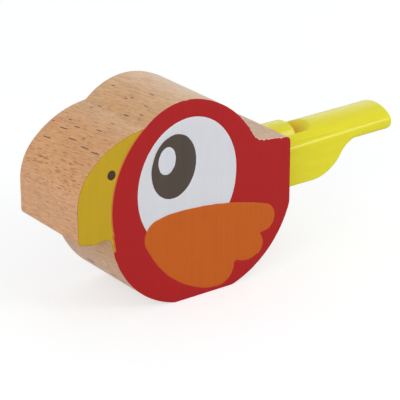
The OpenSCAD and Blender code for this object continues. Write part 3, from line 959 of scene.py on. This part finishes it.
def on_outline(turn):
    """The point of the outline in a direction, in degrees, from the middle of the nape's arc."""
    seen = np.degrees(np.arctan2(OUTLINE[:, 1] - NAPE[1], OUTLINE[:, 0] - NAPE[0]))
    return [float(np.interp(turn, seen, OUTLINE[:, k], period=360)) for k in (0, 1)]


def marks(tree, kinds):
    """How near a point lies to one of some listed marks, flecks or strokes of painted shade, which
    are long ovals along the grain on the outline: 1 at the middle of a mark, 0 at twice its oval."""
    place = add(tree, "TexCoord").outputs["Object"]
    wobble = {"Vector": in_cells(tree, (0.45, 0.45, 0.45)), "Scale": 1.0, "Detail": 1.0}
    push = add(tree, "TexNoise", wobble).outputs["Color"]
    centred = add(tree, "VectorMath", {0: push, 1: (0.5, 0.5, 0.5)}, operation="SUBTRACT").outputs[0]
    small = add(tree, "VectorMath", {0: centred, "Scale": 0.2 * MM}, operation="SCALE").outputs[0]
    place = add(tree, "VectorMath", {0: place, 1: small}, operation="ADD").outputs[0]
    nearest = None
    for half_long, half_wide, spots in kinds:
        for turn, y in spots:
            x, z = on_outline(turn)
            oval = stretched(tree, half_wide, half_long, (x, y, z), place)
            far = add(tree, "VectorMath", {0: oval}, operation="LENGTH").outputs["Value"]
            nearest = far if nearest is None else maths(tree, "MINIMUM", nearest, far)
    return between(tree, nearest, 2.0, 0.0)


def new_material(name):
    """An empty material and its node tree."""
    material = bpy.data.materials.new(name)
    material.use_nodes = True
    material.node_tree.nodes.clear()
    return material, material.node_tree


def surface(tree, colour, rough, height=None, height_mm=0.1, bump=1.0, **sockets):
    """The shader, with a bump where a height is given, and the output."""
    inputs = {"Base Color": colour, "Roughness": rough}
    inputs.update({name.replace("_", " "): value for name, value in sockets.items()})
    if height is not None:
        bumps = {"Height": height, "Distance": height_mm * MM, "Strength": bump}
        inputs["Normal"] = add(tree, "Bump", bumps).outputs[0]
    shader = add(tree, "BsdfPrincipled", inputs)
    add(tree, "OutputMaterial", {"Surface": shader.outputs[0]})


def beech():
    """Bare sanded beech: soft warm patches whose tone shifts from the pink front of the beak
    over its orange ridge to a crown made paler by a painted sheen, a tail top darkened by a
    painted shade, fine fibres and hairs along the grain, listed dark and rust flecks as in the
    photograph with a painted highlight round the listed dark ones, two strokes of painted shade
    along the belly's lower edge, seeded flecks elsewhere, and a paler raw edge where print has
    chipped away."""
    material, tree = new_material("beech")
    x, y, z = in_millimetres(tree)
    patches = noise(tree, stretched(tree, 3.2, 11.0), 1, 3, 0.6)
    colour = mixed(tree, between(tree, patches, 0.3, 0.7), paint(216, 165, 112), paint(227, 181, 130))
    # Tones by place; the crown's tone is a painted sheen and the tail's a painted shade
    for x_span, z_span, strength, tone in BEECH_TONES_SHEEN_AND_SHADE:
        along = between(tree, x, *x_span) if x_span else 1.0
        share = product(tree, along, between(tree, z, *z_span), strength)
        colour = mixed(tree, share, colour, paint(*tone))
    streak = noise(tree, stretched(tree, 0.5, 15.0, (3, 2, 1)), 1, 3, 0.6)
    colour = mixed(tree, between(tree, streak, 0.5, 0.66, 0.0, 0.4), colour, paint(186, 126, 88))
    fibre = noise(tree, stretched(tree, 0.4, 4.5), 1, 4, 0.65)
    colour = mixed(tree, between(tree, fibre, 0.3, 0.7, 0.0, 0.5), colour, paint(181, 132, 93))
    hair = noise(tree, stretched(tree, 0.17, 2.6), 1, 2, 0.5)
    colour = mixed(tree, between(tree, hair, 0.5, 0.72, 0.0, 0.45), colour, paint(236, 201, 158))
    # Fine pores, closest over the beak
    close = product(tree, between(tree, x, -6.0, -24.0, 0.25, 0.8), between(tree, z, 30.0, 37.0, 0.5, 1.0))
    pores = product(tree, flecks(tree, 0.36, 3.2, 0.34, 0.8), close)
    colour = mixed(tree, pores, colour, paint(148, 92, 58))
    # Rust streaks over the middle of the beak's front
    belt = between(tree, maths(tree, "ABSOLUTE", maths(tree, "SUBTRACT", z, 38.7)), 6.0, 2.0)
    rusty = product(tree, belt, between(tree, x, -29.0, -33.0))
    rust = maths(tree, "MAXIMUM", flecks(tree, 0.36, 3.4, 0.36, 0.9), marks(tree, RUST_FLECKS))
    pale = between(tree, noise(tree, stretched(tree, 0.16, 1.3), 1, 2, 0.5), 0.48, 0.66)
    colour = mixed(tree, product(tree, rusty, 0.5, pale), colour, paint(233, 184, 134))
    colour = mixed(tree, product(tree, rusty, 0.75, rust), colour, paint(160, 76, 40))
    # Dark flecks: the listed ones, and seeded ones that keep off the listed area. Two of the listed
    # marks are painted shade along the lower edge of the belly
    listed = marks(tree, DARK_FLECKS_AND_SHADE)
    area = product(tree, between(tree, x, -4.0, -10.0), between(tree, z, 36.0, 40.0))
    faint = product(tree, flecks(tree, 0.6, 4.0, 0.24, 0.4), 0.6)
    seeded = maths(tree, "MAXIMUM", flecks(tree, 0.95, 9.0, 0.2, 0.5), faint)
    seeded = product(tree, seeded, between(tree, area, 0.0, 1.0, 0.55, 0.2))
    dark = maths(tree, "MAXIMUM", between(tree, listed, 0.4, 0.62), seeded)
    # Painted highlight: a paler ring round each listed dark mark, as if its lip caught the light
    colour = mixed(tree, between(tree, listed, 0.1, 0.4, 0.0, 0.45), colour, paint(226, 186, 142))
    colour = mixed(tree, product(tree, dark, 0.9), colour, paint(86, 44, 24))
    # Raw wood where the flat face shows beside the print
    flat_face = between(tree, maths(tree, "ABSOLUTE", y), FACE_Y - 0.12, FACE_Y - 0.02)
    chipped = product(tree, between(tree, x, -6.0, 12.0), between(tree, z, 30.0, 36.0))
    chipped = between(tree, chipped, 0.0, 1.0, 0.25, 0.85)
    colour = mixed(tree, product(tree, flat_face, chipped), colour, paint(240, 206, 190))
    height = maths(tree, "SUBTRACT", product(tree, fibre, 0.35), dark)
    rough = between(tree, fibre, 0.3, 0.7, 0.4, 0.52)
    surface(tree, colour, rough, height, 0.12, 0.5, Specular_IOR_Level=0.5)
    return material


def cheek_halo(tree, x, z):
    """How strongly the thin line along the cheek shows: it fades with the distance from the
    cheek's arc or, below the arc's end, from the leaning line, and behind and under both."""
    dx = maths(tree, "SUBTRACT", x, CHEEK[0])
    dz = maths(tree, "SUBTRACT", z, CHEEK[1])
    far = maths(tree, "SQRT", maths(tree, "ADD", product(tree, dx, dx), product(tree, dz, dz)))
    off_arc = maths(tree, "ABSOLUTE", maths(tree, "SUBTRACT", far, CHEEK_R))
    leaning = maths(tree, "ADD", x, product(tree, z, HALO_LEAN))
    off_line = maths(tree, "ABSOLUTE", maths(tree, "SUBTRACT", leaning, HALO_FOOT_X))
    above = between(tree, z, *HALO_TURN_Z)
    below = maths(tree, "SUBTRACT", 1.0, above)
    apart = maths(tree, "ADD", product(tree, off_arc, above), product(tree, off_line, below))
    line = between(tree, apart, *HALO_WIDTH)
    return product(tree, line, between(tree, z, *HALO_LOW_Z), between(tree, x, *HALO_X))


def ink(name, colour, shade, seed, halo=None, rim=None):
    """Satin printing ink: faint upright streaks and clouds of tone, and the grain of the wood
    felt through it. A halo is a thin line of a second colour along the cheek, and a rim a painted
    shade, a deeper colour where the film rolls off at its edge."""
    material, tree = new_material(name)
    offset = (seed * 0.013, seed * 0.007, seed * 0.019)
    x, y, z = in_millimetres(tree)
    streaks = noise(tree, in_cells(tree, (0.8, 30, 18), offset), 1, 3, 0.6)
    clouds = noise(tree, in_cells(tree, (9, 9, 9), offset), 1, 3, 0.5)
    tone = maths(tree, "ADD", product(tree, streaks, 0.6), product(tree, clouds, 0.4))
    colour = mixed(tree, between(tree, tone, 0.3, 0.7), shade, colour)
    if halo is not None:
        colour = mixed(tree, cheek_halo(tree, x, z), colour, halo)
    # Painted shade: a deeper colour where the film rolls off at its edge
    if rim is not None:
        low = between(tree, maths(tree, "ABSOLUTE", y), FACE_Y + 0.95 * FILM, FACE_Y + 0.6 * FILM)
        colour = mixed(tree, low, colour, rim)
    grains = noise(tree, in_cells(tree, (0.22, 0.22, 0.22), offset), 1, 2, 0.6)
    height = maths(tree, "ADD", product(tree, streaks, 0.5), product(tree, grains, 0.25))
    rough = between(tree, clouds, 0.3, 0.7, 0.5, 0.6)
    surface(tree, colour, rough, height, 0.05, 0.25, Specular_IOR_Level=0.18)
    return material


def moulded_plastic():
    """Glossy yellow plastic: light carries a little way in, faint flow marks run along the
    whistle, the gloss varies slightly, and a painted shade deepens the colour down in the window."""
    material, tree = new_material("yellow_plastic")
    x, y, z = in_millimetres(tree)
    cloud = noise(tree, in_cells(tree, (22, 3, 3)), 1, 3, 0.5, 0.5)
    colour = mixed(tree, between(tree, cloud, 0.3, 0.7), paint(228, 219, 38), paint(231, 224, 44))
    # Painted shade: down in the window and its slope the colour is a deeper orange
    arch = maths(tree, "SUBTRACT", MOUTH_Z, maths(tree, "DIVIDE", product(tree, y, y), RECESS_SHADE_ARCH))
    recess_shade = between(tree, maths(tree, "SUBTRACT", arch, z), *RECESS_SHADE_Z)
    beside = between(tree, maths(tree, "ABSOLUTE", y), WINDOW_Y + 0.05, WINDOW_Y - 0.3)
    behind = between(tree, x, WINDOW_X - 0.5, WINDOW_X - 0.1)
    ahead = between(tree, x, *RECESS_SHADE_END_X)
    colour = mixed(tree, product(tree, behind, ahead, beside, recess_shade), colour, paint(229, 180, 0))
    skin = noise(tree, in_cells(tree, (0.5, 0.5, 0.5)), 1, 2, 0.5)
    rough = between(tree, cloud, 0.3, 0.7, 0.25, 0.3)
    surface(tree, colour, rough, skin, 0.01, 0.2, Specular_IOR_Level=0.24,
            Subsurface_Weight=0.15, Subsurface_Radius=(1.0, 0.7, 0.1), Subsurface_Scale=0.8 * MM)
    return material


def cork():
    """Cork: warm crumbs of three tones, with darker pits between them."""
    material, tree = new_material("cork")
    crumbs = add(tree, "TexVoronoi", {"Vector": stretched(tree, 0.7, 0.7), "Scale": 1.0, "Randomness": 1.0})
    tone = add(tree, "SeparateColor", {"Color": crumbs.outputs["Color"]}).outputs[1]
    colour = mixed(tree, tone, paint(166, 118, 74), paint(205, 156, 104))
    pits = between(tree, noise(tree, stretched(tree, 0.35, 0.35), 1, 3, 0.6), 0.58, 0.7)
    colour = mixed(tree, pits, colour, paint(98, 62, 38))
    height = maths(tree, "SUBTRACT", crumbs.outputs["Distance"], pits)
    surface(tree, colour, 0.8, height, 0.15, 0.6, Specular_IOR_Level=0.2)
    return material


# The stage, the light and the camera

def camera_rays(tree):
    """One where the floor or the background is seen directly, in gloss or through glass."""
    path = add(tree, "LightPath")
    seen = maths(tree, "MAXIMUM", path.outputs["Is Camera Ray"], path.outputs["Is Glossy Ray"])
    return maths(tree, "MAXIMUM", seen, path.outputs["Is Transmission Ray"])


def floor():
    """A pale level floor. Seen directly, a little white is added so that it meets the white
    background and still holds the shadow."""
    reach_m = 3.0
    corners = np.array([[-1, -1, 0], [1, -1, 0], [1, 1, 0], [-1, 1, 0]]) * reach_m - [0, 0, 0.02 * MM]
    piece = new_piece("floor", corners, np.array([[0, 1, 2, 3]]))
    material, tree = new_material("floor")
    place = add(tree, "TexCoord").outputs["Object"]
    colour = mixed(tree, noise(tree, place, 3.0, 2), paint(187, 189, 190), paint(189, 191, 192))
    plain = add(tree, "BsdfDiffuse", {"Color": colour})
    away = add(tree, "VectorMath", {0: place}, operation="LENGTH").outputs["Value"]
    lift = between(tree, away, 0.2, 1.2, FLOOR_LIFT, FLOOR_LIFT + 0.25)
    seen = product(tree, camera_rays(tree), lift)
    white = add(tree, "Emission", {"Color": (1, 1, 1, 1), "Strength": seen})
    both = add(tree, "AddShader", {0: plain.outputs[0], 1: white.outputs[0]})
    add(tree, "OutputMaterial", {"Surface": both.outputs[0]})
    piece.data.materials.append(material)


def lamp(name, place, size, watts):
    """A square soft lamp at a place in metres, aimed at the object."""
    light = bpy.data.lights.new(name, "AREA")
    light.shape = "SQUARE"
    light.size = size
    light.energy = watts
    lamp_object = bpy.data.objects.new(name, light)
    lamp_object.location = place
    lamp_object.rotation_euler = (Vector(LAMP_TARGET) - Vector(place)).to_track_quat("-Z", "Y").to_euler()
    bpy.context.scene.collection.objects.link(lamp_object)


def light():
    """Even white light from all round, and three large soft lamps: behind, ahead of the beak
    and beside the whistle."""
    world = bpy.data.worlds.new("studio")
    world.use_nodes = True
    tree = world.node_tree
    tree.nodes.clear()
    strength = between(tree, camera_rays(tree), 0, 1, SKY, 1.0)
    sky = add(tree, "Background", {"Color": (1, 1, 1, 1), "Strength": strength})
    add(tree, "OutputWorld", {"Surface": sky.outputs[0]})
    bpy.context.scene.world = world
    for name, (place, size, watts) in LAMPS.items():
        lamp(name, place, size, watts)


def camera():
    """The photograph's view: from the beak side, a little above."""
    lens = bpy.data.cameras.new("camera")
    lens.lens = CAMERA_LENS
    lens.sensor_width = 36
    lens.clip_start = 0.01
    view = bpy.data.objects.new("camera", lens)
    view.location = CAMERA_PLACE
    view.rotation_euler = Vector(CAMERA_AHEAD).to_track_quat("-Z", "Y").to_euler()
    bpy.context.scene.collection.objects.link(view)
    bpy.context.scene.camera = view


# The object

def dress(piece, material, node, body="bird", sharp=35):
    """Finishes a piece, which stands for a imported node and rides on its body."""
    finish_piece(piece, material, sharp)
    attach(piece, body)
    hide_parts(node)


def print_inks():
    """The seven inks on each face, each with its colour, its shade in the streaks, its seed
    and a material slot name that nothing reads."""
    line = paint(212, 122, 56)
    inks = {
        "red": ("red_ink", paint(176, 30, 32), paint(170, 27, 29), 1, line, None),
        # The beak's last colour is a painted shade along the rolled edge of its film
        "beak": ("beak_ink", paint(199, 165, 34), paint(193, 158, 30), 2, line, paint(164, 108, 38)),
        "nostril": ("brown_ink", paint(70, 52, 38), paint(62, 46, 32), 3, None, None),
        "eye": ("white_ink", paint(221, 222, 227), paint(216, 217, 222), 4, None, None),
        "pupil": ("brown_ink", paint(82, 71, 63), paint(77, 66, 59), 5, None, None),
        "glint": ("white_ink", paint(220, 222, 229), paint(215, 216, 224), 6, None, None),
        "wing": ("orange_ink", paint(199, 97, 29), paint(194, 92, 25), 7, None, None)}
    points, triangles, own = print_map(print_lines())
    for part, (slot, colour, shade, seed, halo, rim) in inks.items():
        material = ink(part + "_ink_layer", colour, shade, seed, halo, rim)
        for side, face in ((-1, "near"), (1, "far")):
            film = ink_film(f"{part}_ink_{face}", points, triangles[own[part]], side)
            dress(film, material, f"{part}_print_{face}", sharp=60)


camera()
light()
floor()
plastic = moulded_plastic()
dress(beech_block(), beech(), "wood_body")
print_inks()
dress(whistle_base(), plastic, "whistle_lower_shell")
dress(whistle_top(), plastic, "whistle_upper_shell")
dress(windway_plate(), plastic, "windway_plate")
dress(cork_ball(), cork(), "pea", body="pea", sharp=80)

scene = bpy.context.scene
scene.view_settings.view_transform = "Standard"
